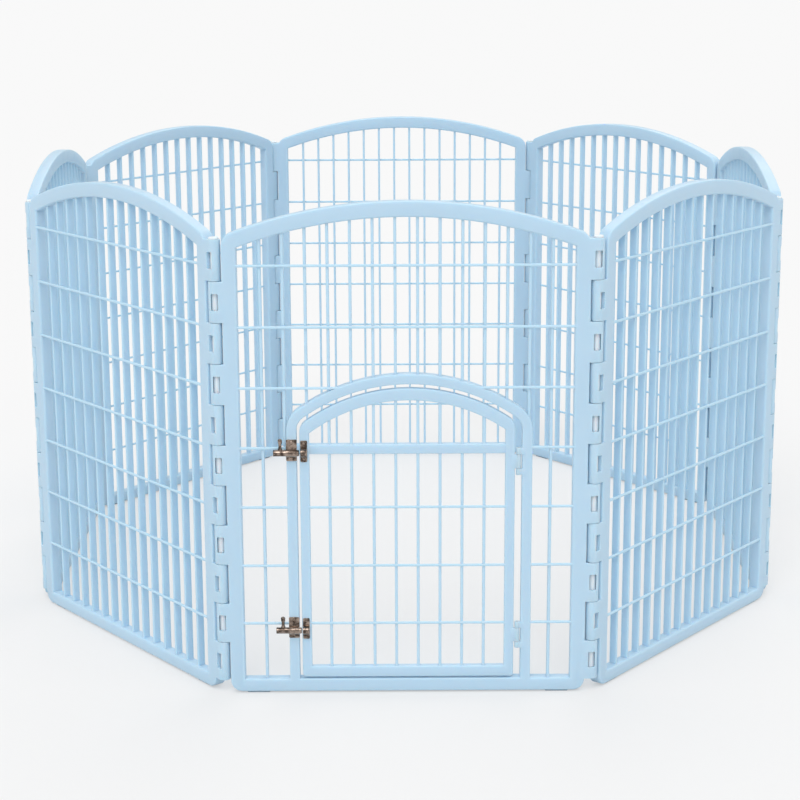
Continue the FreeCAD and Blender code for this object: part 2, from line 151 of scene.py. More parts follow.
class PenDoorSizes(bpy.types.PropertyGroup):
    """Sizes of the doorway, the door and the latches' screws."""
    way_width: length("Doorway width", 384.7, "Clear width of the doorway")
    way_offset: length("Doorway offset", 4.35, "Doorway's middle from the panel's middle")
    way_top: length("Doorway top", 553, "Crown of the doorway above the floor")
    way_arch: length("Doorway arch", 312, "Radius of the doorway's arch")
    way_shoulder: length("Doorway shoulder", 28, "Radius of the doorway's upper corners")
    way_band: length("Doorway band", 17.4, "Width of the posts and the arch")
    way_round: length("Doorway rounding", 2.2, "Rounding of the doorway's rims")
    latch_gap: length("Latch gap", 5, "Door to the post that has the latches")
    hinge_gap: length("Hinge gap", 12.2, "Door to the post that has the hinges")
    top_gap: length("Top gap", 7, "Door to the doorway's arch")
    foot_gap: length("Foot gap", 3.5, "Door to the bottom rail")
    recess: length("Recess", 0.3, "Door's face behind the panel's face")
    depth: length("Door depth", 14, "Door from front to back")
    stile: length("Door stile", 16.5, "Width of the door's upright sides")
    rail: length("Foot rail", 19, "Height of the door's foot rail")
    arch_band: length("Arch band", 21, "Width of the door's arched top")
    mid_rail: length("Mid rail", 17, "Height of the door's mid rail")
    mid_level: length("Mid rail level", 440, "Mid rail's middle above the floor")
    shoulder: length("Door shoulder", 24, "Radius of the door's upper corners")
    foot_corner: length("Door foot corner", 6, "Radius of the door's lower corners")
    edge_round: length("Door rounding", 2, "Rounding of the door's outer rims")
    inner_round: length("Door inner rounding", 2.3, "Rounding of the rims round its grille")
    rail_inset: length("Mid rail inset", 1, "Mid rail's faces behind the door's faces")
    rail_round: length("Mid rail rounding", 1.8, "Rounding of the mid rail's edges")
    bar_inset: length("Bar inset", 2.5, "Bars' edges behind the door's faces")
    strip_inset: length("Strip inset", 0.3, "Strips behind the door's face")
    strip_depth: length("Door strip depth", 3.2, "Strips from front to back")
    bars: IntProperty(name="Door bars", description="Upright bars in the door", default=8, min=1)
    strips: IntProperty(name="Door strips", description="Strips in the door", default=3, min=1)
    screw_head: length("Screw head", 2.9, "Radius of the latch screws' heads")


class PenColours(bpy.types.PropertyGroup):
    """Colours of the finishes."""
    plastic: colour("Panel plastic", 183, 210, 228, "Moulded panels and door")
    # Paler colour on the edges: a painted highlight, partly rubbed wear
    plastic_edge_sheen_and_wear: colour("Plastic edges", 208, 226, 238, "Where the moulding is thin or rubbed")
    rod: colour("Rod plastic", 222, 230, 236, "Rods that join the panels")
    rubber: colour("Foot rubber", 150, 172, 190, "Feet under the panels")
    chrome: colour("Latch metal", 170, 152, 139, "Plated latches")
    # Dark colour of patches on the metal: painted dark reflections
    dark_reflection: colour("Latch shade", 44, 33, 27, "Dark patches in the plating")
    steel: colour("Pin steel", 176, 180, 184, "Door hinge pins")
    floor: colour("Floor", 222, 223, 224, "Studio floor")


def panel_sizes():
    return bpy.context.scene.pen_panel


def door_sizes():
    return bpy.context.scene.pen_door


# Drawing and shaping

def select_only(*pieces):
    bpy.ops.object.select_all(action="DESELECT")
    for piece in pieces:
        piece.select_set(True)
    bpy.context.view_layer.objects.active = pieces[0]


def add(kind, name, **size_and_place):
    """A primitive at its size and place, with both in its mesh."""
    bpy.ops.object.select_all(action="DESELECT")
    getattr(bpy.ops.mesh, f"primitive_{kind}_add")(**size_and_place)
    piece = bpy.context.object
    piece.name = name
    bpy.ops.object.transform_apply(location=True, rotation=True, scale=True)
    return piece


def box_piece(name, x, y, z):
    """A block between two x, two y and two z."""
    middle = ((x[0] + x[1]) / 2, (y[0] + y[1]) / 2, (z[0] + z[1]) / 2)
    size = (x[1] - x[0], y[1] - y[0], z[1] - z[0])
    return add("cube", name, size=1.0, location=middle, scale=size)


def edit(piece, kind="VERT"):
    select_only(piece)
    bpy.ops.object.mode_set(mode="EDIT")
    bpy.ops.mesh.select_mode(type=kind)


def finish_edit():
    bpy.ops.object.mode_set(mode="OBJECT")


def take_all():
    bpy.ops.mesh.select_all(action="SELECT")


def extrude(x, y, z):
    bpy.ops.mesh.extrude_region_move(TRANSFORM_OT_translate={"value": (x, y, z)})


def pick(piece, kind, wanted):
    """In edit mode, select just the vertices, edges or faces that are wanted."""
    bpy.ops.mesh.select_all(action="DESELECT")
    mesh = bmesh.from_edit_mesh(piece.data)
    mesh.normal_update()
    for item in getattr(mesh, kind):
        if wanted(item):
            item.select_set(True)
    mesh.select_flush_mode()
    bmesh.update_edit_mesh(piece.data)


def face_out():
    """In edit mode, merge what meets and turn all faces outwards."""
    take_all()
    bpy.ops.mesh.remove_doubles(threshold=TOUCH / 2)
    bpy.ops.mesh.normals_make_consistent(inside=False)


def span(edge, axis):
    """An edge's length along x, y or z (axis 0, 1 or 2)."""
    return abs(edge.verts[0].co[axis] - edge.verts[1].co[axis])


def bevel(piece, wanted, width, segments):
    """Round the wanted edges."""
    edit(piece, "EDGE")
    pick(piece, "edges", wanted)
    bpy.ops.mesh.bevel(offset=width, segments=segments, affect="EDGES")
    finish_edit()


def run_back(piece, wanted, scale, centre):
    """Extrude the wanted faces and flatten them on a plane through the centre, as one face."""
    edit(piece, "FACE")
    pick(piece, "faces", wanted)
    extrude(0, 0, 0)
    bpy.ops.transform.resize(value=scale, center_override=centre)
    face_out()
    bpy.ops.mesh.dissolve_limited(angle_limit=math.radians(0.5))
    finish_edit()


def use_modifier(piece, kind, **settings):
    select_only(piece)
    modifier = piece.modifiers.new(kind, kind)
    for name, value in settings.items():
        setattr(modifier, name, value)
    bpy.ops.object.modifier_apply(modifier=modifier.name)


def round_edges(piece, radius, segments=2, angle=30):
    use_modifier(piece, "BEVEL", width=radius, segments=segments, limit_method="ANGLE",
                 angle_limit=math.radians(angle))


def volume(piece):
    mesh = bmesh.new()
    mesh.from_mesh(piece.data)
    closed = all(len(edge.link_faces) == 2 for edge in mesh.edges)
    inside = mesh.calc_volume(signed=True)
    mesh.free()
    if not closed:
        raise RuntimeError(f"{piece.name} has an open edge")
    return inside


def combine(piece, other, operation):
    """Unite a piece with another, or cut the other out of it. The other is used up."""
    before, added = volume(piece), volume(other)
    use_modifier(piece, "BOOLEAN", object=other, operation=operation, solver="EXACT")
    after = volume(piece)
    if operation == "UNION":
        fits = max(before, added) < after < before + added
    else:
        fits = 0 < after < before
    if not fits:
        raise RuntimeError(f"{piece.name} and {other.name} could not be combined")
    bpy.data.meshes.remove(other.data)


def join(pieces):
    select_only(*pieces)
    bpy.ops.object.join()
    return pieces[0]


def put(name, data):
    """A new object in the scene."""
    made = bpy.data.objects.new(name, data)
    bpy.context.scene.collection.objects.link(made)
    return made


def copy_of(piece, name, place):
    """A copy with a mesh of its own, moved by a matrix."""
    twin = put(name, piece.data.copy())
    twin.data.transform(place)
    return twin


def drop(piece):
    bpy.data.meshes.remove(piece.data)


def draw_outline(name, y, left, right, foot, crown, radius, arch_x=0.0, shoulder=0.0,
                 foot_round=0.0):
    """A closed line in the plane y: upright sides under an arch, with rounded corners."""
    arch_z = crown - radius
    rise = []
    for side in (left, right):
        across = abs(side - arch_x) - shoulder
        rise.append((across, math.sqrt((radius - shoulder) ** 2 - across ** 2)))
    (left_across, left_up), (right_across, right_up) = rise
    foot_steps = 4 if foot_round < 10 * MM else 8   # a small corner needs fewer
    left_turn = math.atan2(left_up, left_across)
    right_turn = math.atan2(right_up, right_across)

    def arc(x, z, turn, steps, rounding=radius):
        if rounding:
            bpy.ops.mesh.spin(steps=steps, angle=-turn, center=(x, y, z), axis=(0, 1, 0))

    outline = add("plane", name, size=MM, location=(left, y, foot + foot_round))
    edit(outline)
    take_all()
    bpy.ops.mesh.merge(type="CENTER")
    extrude(0, 0, arch_z + left_up - foot - foot_round)
    arc(arch_x - left_across, arch_z + left_up, left_turn, STEPS_OF_SHOULDER, shoulder)
    arc(arch_x, arch_z, math.pi - left_turn - right_turn, STEPS_OF_ARCH)
    arc(arch_x + right_across, arch_z + right_up, right_turn, STEPS_OF_SHOULDER, shoulder)
    extrude(0, 0, foot + foot_round - arch_z - right_up)
    arc(right - foot_round, foot + foot_round, math.pi / 2, foot_steps, foot_round)
    extrude(left - right + 2 * foot_round, 0, 0)
    arc(left + foot_round, foot + foot_round, math.pi / 2, foot_steps, foot_round)
    take_all()
    bpy.ops.mesh.remove_doubles(threshold=TOUCH)
    finish_edit()
    return outline


def rim(edge):
    """An edge between a face that looks along y and one that looks square to it."""
    if len(edge.link_faces) != 2:
        return False
    across = sorted(abs(face.normal.y) for face in edge.link_faces)
    return across[0] < 0.05 and across[1] > 0.99


def arched_frame(name, outer, inner, depth, inner_round, outer_round):
    """A frame between two outlines for draw_outline, with rounded rims."""
    y = outer["y"]
    inside = draw_outline(name + "_opening", **inner)
    piece = join([draw_outline(name, **outer), inside])
    arch_x = inner.get("arch_x", 0.0)
    edit(piece, "EDGE")
    take_all()
    bpy.ops.mesh.fill(use_beauty=True)
    take_all()
    bpy.ops.mesh.bisect(plane_co=(arch_x, y, 0), plane_no=(1, 0, 0))
    pick(piece, "edges", lambda edge: len(edge.link_faces) == 2
         and any(abs(vertex.co.x - arch_x) > TOUCH for vertex in edge.verts))
    bpy.ops.mesh.dissolve_edges(use_verts=False)
    bpy.ops.mesh.select_mode(type="FACE")
    take_all()
    extrude(0, depth, 0)
    face_out()
    finish_edit()
    slack = 5 * TOUCH
    arch_z = inner["crown"] - inner["radius"]

    def in_opening(edge):
        for point in (vertex.co for vertex in edge.verts):
            beside = inner["left"] - slack < point.x < inner["right"] + slack
            under = math.hypot(point.x - arch_x, point.z - arch_z) < inner["radius"] + slack
            if not (beside and under and point.z > inner["foot"] - slack):
                return False
        return True

    bevel(piece, lambda edge: rim(edge) and in_opening(edge), inner_round, 4)
    bevel(piece, lambda edge: rim(edge) and not in_opening(edge), outer_round, 3)
    return piece


def midway(places):
    """Places half-way between neighbours."""
    return [(low + high) / 2 for low, high in zip(places, places[1:])]


def cross_cut(piece, bars, strips):
    """Part a frame between its bars and strips, so that each joins a face of its own."""
    edit(piece, "FACE")
    planes = [((x, 0, 0), (1, 0, 0)) for x in midway(bar_places(bars))]
    planes += [((0, 0, z), (0, 0, 1)) for z in midway(strip_levels(strips))]
    for point, normal in planes:
        take_all()
        bpy.ops.mesh.bisect(plane_co=point, plane_no=normal)
    finish_edit()


def turned(name, profile, vertices=32):
    """A piece turned about z from a list of (radius, z), from its lower to its upper end."""
    radius, z = profile[0]
    piece = add("circle", name, vertices=vertices, radius=radius, fill_type="NGON",
                location=(0, 0, z))
    edit(piece, "FACE")
    take_all()
    for wider, higher in profile[1:]:
        extrude(0, 0, higher - z)
        grow = wider / radius
        if abs(grow - 1) > 1e-6:
            bpy.ops.transform.resize(value=(grow, grow, 1), center_override=(0, 0, higher))
        radius, z = wider, higher
    face_out()
    finish_edit()
    return piece


def rounded_end(radius, end, rounding, upwards, steps=4):
    """Profile points of a rounded rim at a piece's upper end, or at its lower one."""
    way = 1 if upwards else -1
    points = []
    for i in range(steps + 1):
        angle = math.pi / 2 * i / steps
        points.append((radius - rounding * (1 - math.cos(angle)),
                       end - way * rounding * (1 - math.sin(angle))))
    return points[::way]


def settle(piece, name, body, slot, place=None, stands_for=()):
    """Name a finished piece, set it in its place, and say what it rides on and stands for."""
    piece.name = name
    piece.data.name = name
    if place is not None:
        piece.data.transform(place)
    piece.data.materials.clear()
    piece.data.materials.append(bpy.data.materials[FINISHES[slot]])
    select_only(piece)
    bpy.ops.object.shade_smooth_by_angle(angle=SMOOTH_ANGLE)
    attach(piece, body)
    if stands_for:
        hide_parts(*stands_for)


# Panels

ROOT = 6 * MM               # how far knuckles, posts and hinge webs run into what they join
WINDOW_ROUND = 2 * MM
EAR = 11.5 * MM             # length of a doorway barrel at one end of a hinge pin
EAR_GAP = 0.4 * MM          # air between a doorway barrel and the door's
WEB = 6 * MM                # thickness of the web behind a barrel
BARREL = 4.3 * MM
PIN_BORE = 2.05 * MM
BARREL_ROUND = 0.6 * MM


def knuckle(side):
    """One hinge knuckle at the lowest place: a barrel round the axis with a root in the stile."""
    sizes = panel_sizes()
    axis = side * PITCH / 2
    root = side * (sizes.edge - ROOT)
    low = sizes.hinge_low + sizes.knuckle_gap / 2
    high = low + sizes.knuckle - sizes.knuckle_gap
    middle = (low + high) / 2
    barrel = add("cylinder", "knuckle", vertices=32, radius=sizes.depth / 2, depth=high - low,
                 location=(axis, 0, middle))
    run_back(barrel, lambda face: face.normal.x * side < -0.01 and abs(face.normal.z) < 0.5,
             (0, 1, 1), (root, 0, middle))
    bevel(barrel, lambda edge: sorted(abs(face.normal.z) > 0.9 for face in edge.link_faces)
          == [False, True], sizes.knuckle_round, 3)
    bore = add("cylinder", "bore", vertices=32, radius=sizes.rod_room, depth=2 * sizes.knuckle,
               location=(axis, 0, middle))
    combine(barrel, bore, "DIFFERENCE")
    half = sizes.rod_room
    window = box_piece("window", (axis - half, axis + half), (-sizes.depth, 0),
                       (middle - sizes.window / 2, middle + sizes.window / 2))
    bevel(window, lambda edge: span(edge, 1) > sizes.depth / 2, WINDOW_ROUND, 4)
    combine(barrel, window, "DIFFERENCE")
    return barrel


def knuckle_row(side):
    """One edge's share of the hinge: the even places on the right edge, the odd on the left."""
    sizes = panel_sizes()
    first = knuckle(side)
    start = 0 if side > 0 else 1
    row = [copy_of(first, f"knuckle_{i}", Matrix.Translation((0, 0, i * sizes.knuckle)))
           for i in range(start, KNUCKLES, 2)]
    drop(first)
    return join(row)


def bar_places(count):
    pitch = panel_sizes().bar_pitch
    return [(i - (count - 1) / 2) * pitch for i in range(count)]


def strip_levels(count):
    sizes = panel_sizes()
    first = sizes.foot + sizes.bottom_rail + sizes.strip_first
    return [first + i * sizes.strip_pitch for i in range(count)]


def row_of(kind, spans, front, back):
    """Bars, one for each (x, foot, top), or strips, one for each (z, left, right)."""
    sizes = panel_sizes()
    upright = kind == "bar"
    width, rounding = ((sizes.bar_width, sizes.bar_round) if upright
                       else (sizes.strip_height, sizes.strip_round))
    across, run = (-width / 2, width / 2), (0, 1)
    blank = box_piece(kind, *((across, (front, back), run) if upright
                              else (run, (front, back), across)))
    bevel(blank, lambda edge: span(edge, 2 if upright else 0) > 0.5,
          min(rounding, 0.45 * min(width, back - front)), 3)
    row = []
    for i, (place, low, high) in enumerate(spans):
        start, size = (place, 0, low), (1, 1, high - low, 1)
        if not upright:
            start, size = start[::-1], (high - low, 1, 1, 1)
        stretch = Matrix.Translation(start) @ Matrix.Diagonal(size)
        row.append(copy_of(blank, f"{kind}_{i}", stretch))
    drop(blank)
    return join(row)


def grille(bars, strips):
    """A panel's bars, and its strips in front of them."""
    sizes = panel_sizes()
    front = -sizes.bar_depth / 2
    return (row_of("bar", bars, front, -front),
            row_of("strip", strips, front - sizes.strip_depth, front + MM))


def panel_outlines():
    sizes = panel_sizes()
    radius = (sizes.edge ** 2 + sizes.arch_rise ** 2) / (2 * sizes.arch_rise)
    y = -sizes.depth / 2
    outer = {"y": y, "left": -sizes.edge, "right": sizes.edge, "foot": sizes.foot,
             "crown": sizes.crown, "radius": radius, "shoulder": sizes.shoulder,
             "foot_round": sizes.foot_corner}
    inside = sizes.edge - sizes.stile
    inner = {"y": y, "left": -inside, "right": inside, "foot": sizes.foot + sizes.bottom_rail,
             "crown": sizes.crown - sizes.top_rail, "radius": radius - sizes.top_rail}
    return outer, inner


def panel_frame(name):
    sizes = panel_sizes()
    return arched_frame(name, *panel_outlines(), sizes.depth, sizes.opening_round,
                        sizes.edge_round)


def rail_middle(x):
    """Height of the arched rail's middle line."""
    outer, inner = panel_outlines()
    radius = (outer["radius"] + inner["radius"]) / 2
    return outer["crown"] - outer["radius"] + math.sqrt(radius ** 2 - x ** 2)


def doorway_outline(grow, foot):
    way = door_sizes()
    y = -panel_sizes().depth / 2
    return {"y": y, "left": way.way_offset - way.way_width / 2 - grow,
            "right": way.way_offset + way.way_width / 2 + grow, "foot": foot,
            "crown": way.way_top + grow, "radius": way.way_arch + grow, "arch_x": way.way_offset,
            "shoulder": way.way_shoulder + grow}


def above_arch(outline, x):
    """Height of an outline's arch over a place, or None beside it."""
    across = abs(x - outline["arch_x"])
    if not outline["left"] < x < outline["right"]:
        return None
    shoulder = outline["shoulder"]
    middle = (outline["right"] - outline["left"]) / 2 - shoulder
    radius = outline["radius"]
    arch_z = outline["crown"] - radius
    up = math.sqrt((radius - shoulder) ** 2 - middle ** 2)
    if across > middle * radius / (radius - shoulder):
        return arch_z + up + math.sqrt(max(shoulder ** 2 - (across - middle) ** 2, 0))
    return arch_z + math.sqrt(radius ** 2 - across ** 2)


def grille_limits():
    """Where the bars start in the bottom rail, and how far the strips reach into the stiles."""
    sizes = panel_sizes()
    return sizes.foot + sizes.bottom_rail / 2, sizes.edge - sizes.stile / 2


def plain_grille():
    """Bars and strips that fill a plain panel."""
    sizes = panel_sizes()
    foot, reach = grille_limits()
    return grille([(x, foot, rail_middle(x)) for x in bar_places(sizes.bars)],
                  [(z, -reach, reach) for z in strip_levels(sizes.strips)])


def doorway_grille():
    """Bars and strips that stop in the posts and the arch round the doorway."""
    sizes = panel_sizes()
    way = door_sizes()
    foot, reach = grille_limits()
    levels = strip_levels(sizes.strips)
    band = doorway_outline(way.way_band / 2, foot)
    outer = doorway_outline(way.way_band, foot)
    bars = []
    for x in bar_places(sizes.bars):
        start = above_arch(band, x)
        if start is None:
            beside = outer["left"] - sizes.bar_width < x < outer["right"] + sizes.bar_width
            start = levels[way.strips] if beside else foot
        bars.append((x, start, rail_middle(x)))
    arch_z = band["crown"] - band["radius"]
    strips = []
    for z in levels:
        if z > band["crown"]:
            strips.append((z, -reach, reach))
            continue
        side = (band["right"] - band["left"]) / 2
        if z > arch_z:
            side = min(side, math.sqrt(band["radius"] ** 2 - (z - arch_z) ** 2))
        strips.append((z, -reach, way.way_offset - side))
        strips.append((z, way.way_offset + side, reach))
    return grille(bars, strips)


def door_axis():
    """Where the door's hinge pins stand in the front panel's own frame."""
    axis = axis_of("lower_door_hinge_pin")
    return axis.x, axis.y - FRONT_Y


def hinge_barrel(name, low, high, root):
    """A small barrel on the door's axis with a web back to its root, bored for the pin."""
    x, y = door_axis()
    middle = (x, y, (low + high) / 2)
    barrel = add("cylinder", name, vertices=24, radius=BARREL, depth=high - low, location=middle)
    side = 1 if root > x else -1
    web = box_piece(name + "_web", sorted((x + side * BARREL / 2, root + side * ROOT)),
                    (y - WEB / 2, y + WEB / 2), (low, high))
    for piece in (barrel, web):
        round_edges(piece, BARREL_ROUND)
    combine(barrel, web, "UNION")
    bore = add("cylinder", name + "_bore", vertices=24, radius=PIN_BORE, depth=2 * (high - low),
               location=middle)
    combine(barrel, bore, "DIFFERENCE")
    return barrel


def hinge_spans():
    """Lowest and highest point of each door hinge pin."""
    boxes = [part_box(place + "_door_hinge_pin") for place in LATCHES]
    return [(low.z, high.z) for low, high in boxes]


class PEN_OT_plain_panels(bpy.types.Operator):
    """Model a plain panel and set seven of it round the pen"""
    bl_idname = "pen.plain_panels"
    bl_label = "Plain Panels"

    def execute(self, context):
        sizes = panel_sizes()
        panel = panel_frame("panel")
        cross_cut(panel, sizes.bars, sizes.strips)
        for part in (knuckle_row(-1), knuckle_row(1), *plain_grille()):
            combine(panel, part, "UNION")
        for name in PANELS[1:]:
            twin = copy_of(panel, name, PLACES[name])
            settle(twin, name + "_moulding", name, "panel_plastic", stands_for=[name + "_panel"])
        drop(panel)
        return {"FINISHED"}


class PEN_OT_door_panel(bpy.types.Operator):
    """Model the front panel, whose grille stops round the doorway"""
    bl_idname = "pen.door_panel"
    bl_label = "Door Panel"

    def execute(self, context):
        sizes = panel_sizes()
        way = door_sizes()
        panel = panel_frame("door_panel")
        posts = arched_frame("posts", doorway_outline(way.way_band, sizes.foot + ROOT),
                             doorway_outline(0, sizes.foot + sizes.bottom_rail), sizes.depth,
                             way.way_round, way.way_round)
        for piece in (panel, posts):
            cross_cut(piece, sizes.bars, sizes.strips)
        parts = [posts, knuckle_row(-1), knuckle_row(1), *doorway_grille()]
        right = way.way_offset + way.way_width / 2
        for i, (low, high) in enumerate(hinge_spans()):
            parts.append(hinge_barrel(f"ear_{i}_low", low, low + EAR, right))
            parts.append(hinge_barrel(f"ear_{i}_high", high - EAR, high, right))
        for part in parts:
            combine(panel, part, "UNION")
        settle(panel, "front_moulding", "front", "panel_plastic", FRONT, ["front_panel"])
        return {"FINISHED"}


class PEN_OT_door(bpy.types.Operator):
    """Model the door with its mid rail, bars, strips and hinge barrels"""
    bl_idname = "pen.door"
    bl_label = "Door"

    def execute(self, context):
        sizes = panel_sizes()
        way = door_sizes()
        front = -sizes.depth / 2 + way.recess
        back = front + way.depth
        left = way.way_offset - way.way_width / 2 + way.latch_gap
        right = way.way_offset + way.way_width / 2 - way.hinge_gap
        foot = sizes.foot + sizes.bottom_rail + way.foot_gap
        top = way.way_top - way.top_gap
        radius = way.way_arch - way.top_gap
        outer = {"y": front, "left": left, "right": right, "foot": foot, "crown": top,
                 "radius": radius, "arch_x": way.way_offset, "shoulder": way.shoulder,
                 "foot_round": way.foot_corner}
        inner = {"y": front, "left": left + way.stile, "right": right - way.stile,
                 "foot": foot + way.rail, "crown": top - way.arch_band,
                 "radius": radius - way.arch_band, "arch_x": way.way_offset}
        leaf = arched_frame("door", outer, inner, way.depth, way.inner_round, way.edge_round)
        cross_cut(leaf, way.bars, way.strips + 1)
        rail = box_piece("mid_rail", (left + way.stile / 2, right - way.stile / 2),
                         (front + way.rail_inset, back - way.rail_inset),
                         (way.mid_level - way.mid_rail / 2, way.mid_level + way.mid_rail / 2))
        round_edges(rail, way.rail_round, 3)
        combine(leaf, rail, "UNION")
        middle = radius - way.arch_band / 2
        spans = []
        for x in bar_places(way.bars):
            arch = top - radius + math.sqrt(middle ** 2 - (x - way.way_offset) ** 2)
            spans.append((x, foot + way.rail / 2, arch))
        combine(leaf, row_of("bar", spans, front + way.bar_inset, back - way.bar_inset), "UNION")
        spans = [(z, left + way.stile / 2, right - way.stile / 2) for z in strip_levels(way.strips)]
        face = front + way.strip_inset
        combine(leaf, row_of("strip", spans, face, face + way.strip_depth), "UNION")
        inset = EAR + EAR_GAP
        for i, (low, high) in enumerate(hinge_spans()):
            barrel = hinge_barrel(f"barrel_{i}", low + inset, high - inset, right)
            combine(leaf, barrel, "UNION")
        settle(leaf, "door_leaf", "door", "panel_plastic", FRONT, ["door"])
        return {"FINISHED"}


# Rods and feet

ROD = 6 * MM
ROD_HEAD = 8.5 * MM
HEAD_HEIGHT = 4 * MM
FOOT_SIZE = (40 * MM, 13 * MM, 8 * MM)
FOOT_INSET = 48 * MM        # foot's middle from the stile's outer edge
FOOT_CORNER = 3 * MM
FOOT_RIM = 0.8 * MM         # rounding round its underside


class PEN_OT_rods(bpy.types.Operator):
    """Turn a joining rod and drop one through the knuckles of each corner"""
    bl_idname = "pen.rods"
    bl_label = "Joining Rods"

    def execute(self, context):
        low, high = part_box("front_connecting_rod")
        seat = high.z - HEAD_HEIGHT
        profile = rounded_end(ROD, low.z, ROD / 4, False) + [(ROD, seat)]
        profile += rounded_end(ROD_HEAD, seat, 0.15 * HEAD_HEIGHT, False)
        profile += rounded_end(ROD_HEAD, high.z, 0.35 * HEAD_HEIGHT, True)
        rod = turned("rod", profile)
        for name in PANELS:
            node = name + "_connecting_rod"
            twin = copy_of(rod, name, Matrix.Translation(axis_of(node)))
            settle(twin, name + "_joining_rod", name, "rod_plastic", stands_for=[node])
        drop(rod)
        return {"FINISHED"}


class PEN_OT_feet(bpy.types.Operator):
    """Model a rubber foot and press two of it under each panel"""
    bl_idname = "pen.feet"
    bl_label = "Rubber Feet"

    def execute(self, context):
        x, y, height = FOOT_SIZE
        blank = box_piece("foot", (-x / 2, x / 2), (-y / 2, y / 2), (0, height))
        bevel(blank, lambda edge: span(edge, 2) > MM, FOOT_CORNER, 5)
        bevel(blank, lambda edge: all(v.co.z < TOUCH for v in edge.verts), FOOT_RIM, 3)
        across = panel_sizes().edge - FOOT_INSET
        for name in PANELS:
            pair = []
            for side in (-1, 1):
                stand = PLACES[name] @ Matrix.Translation((side * across, 0, 0))
                pair.append(copy_of(blank, f"{name}_{side}", stand))
            settle(join(pair), name + "_rubber_feet", name, "foot_rubber",
                   stands_for=[name + "_feet"])
        drop(blank)
        return {"FINISHED"}


# Latches and pins

PLATE = 1.2 * MM            # thickness of a latch's plates
PLATE_CORNER = 2 * MM
PLATE_RIM = 0.35 * MM
METAL_ROUND = 0.25 * MM
SLEEVE = 6.8 * MM           # radius of the sleeve round the bolt
SLEEVE_BORE = 5.6 * MM
SLEEVE_STOP = 1.8 * MM      # closed part of the sleeve before the knob's slot
HALF_SLOT = 4.05 * MM
STRAP = 7.4 * MM            # outer radius of the keeper's strap
PASSAGE = 6.1 * MM          # and its inner one
CLEAR = 20 * MM             # past a sleeve, above or below
BOLT = 5.5 * MM
BOLT_TAIL = 0.8 * MM
BOLT_NOSE = 1.6 * MM
KNOB_PLACE = 32.2 * MM      # knob behind the bolt's nose
# Radius and height over the bolt's axis of the knob's neck and swell, in millimetres
KNOB = ((3.8, 2), (3.8, 7.2), (2.9, 8.2), (2.5, 12), (2.7, 16), (3.5, 17.5))
KNOB_HEAD = 3.8 * MM
PIN_ROUND = 0.5 * MM
SCREW_RIM = 0.3 * MM
SCREW_DOME = 1.1 * MM
SCREW_SLOT = 0.55 * MM
SCREW_INSET = 5 * MM        # screw from its plate's upper or lower end


def latch_level(place):
    """Height and depth (y) of a bolt's axis in the front panel's own frame."""
    low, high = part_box(place + "_latch_bolt")
    return low.z + BOLT, (low.y + high.y) / 2 - FRONT_Y


def plate_box(place, part):
    """A latch plate's corners, the middle of its x range and its back face."""
    low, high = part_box(f"{place}_latch_{part}")
    back = -panel_sizes().depth / 2 if part == "plate" else high.y - FRONT_Y
    return low, high, (low.x + high.x) / 2, back


def latch_plate(low, high, back):
    """A stamped plate with rounded corners and a softened rim."""
    plate = box_piece("plate", (low.x, high.x), (back - PLATE, back), (low.z, high.z))
    bevel(plate, lambda edge: span(edge, 1) > 0.5 * MM, PLATE_CORNER, 5)
    bevel(plate, lambda edge: rim(edge) and edge.verts[0].co.y < back - PLATE / 2, PLATE_RIM, 2)
    return plate


def along_x(name, radius, run, middle):
    """A cylinder that lies along x."""
    return add("cylinder", name, vertices=40, radius=radius, depth=run, location=middle,
               rotation=(0, math.pi / 2, 0))


def barrel_plate(place):
    """Plate on the post with the slotted barrel that guides the bolt."""
    low, high, x, face = plate_box(place, "plate")
    level, y = latch_level(place)
    plate = latch_plate(low, high, face)
    sleeve = along_x("sleeve", SLEEVE, high.x - low.x, (x, y, level))
    behind = box_piece("behind", (low.x - MM, high.x + MM), (face - 0.5 * MM, 0),
                       (level - CLEAR, level + CLEAR))
    combine(sleeve, behind, "DIFFERENCE")
    combine(plate, sleeve, "UNION")
    bore = along_x("bore", SLEEVE_BORE, 2 * (high.x - low.x), (x, y, level))
    combine(plate, bore, "DIFFERENCE")
    slot = box_piece("slot", (low.x - MM, high.x - SLEEVE_STOP), (y - HALF_SLOT, y + HALF_SLOT),
                     (level, level + CLEAR))
    combine(plate, slot, "DIFFERENCE")
    round_edges(plate, METAL_ROUND, 2, 40)
    return plate


def keeper_strap(place):
    """Plate on the door with the strap that the bolt shoots into."""
    low, high, x, back = plate_box(place, "keeper")
    level, y = latch_level(place)
    plate = latch_plate(low, high, back)
    strap = along_x("strap", STRAP, high.x - low.x - MM, (x, y, level))
    passage = along_x("passage", PASSAGE, 2 * (high.x - low.x), (x, y, level))
    for piece, reach in ((strap, back - PLATE / 2), (passage, back + MM)):
        run_back(piece, lambda face: face.normal.y > 0.01 and abs(face.normal.x) < 0.5,
                 (1, 0, 1), (x, reach, level))
    combine(strap, passage, "DIFFERENCE")
    combine(plate, strap, "UNION")
    round_edges(plate, METAL_ROUND, 2, 40)
    return plate


def sliding_bolt(place):
    """Round bolt with a turned knob."""
    level, y = latch_level(place)
    low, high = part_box(place + "_latch_bolt")
    profile = rounded_end(BOLT, 0, BOLT_TAIL, False)
    profile += rounded_end(BOLT, high.x - low.x, BOLT_NOSE, True)
    bolt = turned("bolt", profile, 40)
    bolt.data.transform(Matrix.Translation((low.x, y, level)) @ ALONG_X)
    top = high.z - level
    profile = [(radius * MM, height * MM) for radius, height in KNOB]
    profile += rounded_end(KNOB_HEAD, top, 3 * MM, True, 6)[:-1] + [(0.9 * MM, top)]
    knob = turned("knob", profile)
    knob.data.transform(Matrix.Translation((high.x - KNOB_PLACE, y, level)))
    combine(bolt, knob, "UNION")
    return bolt


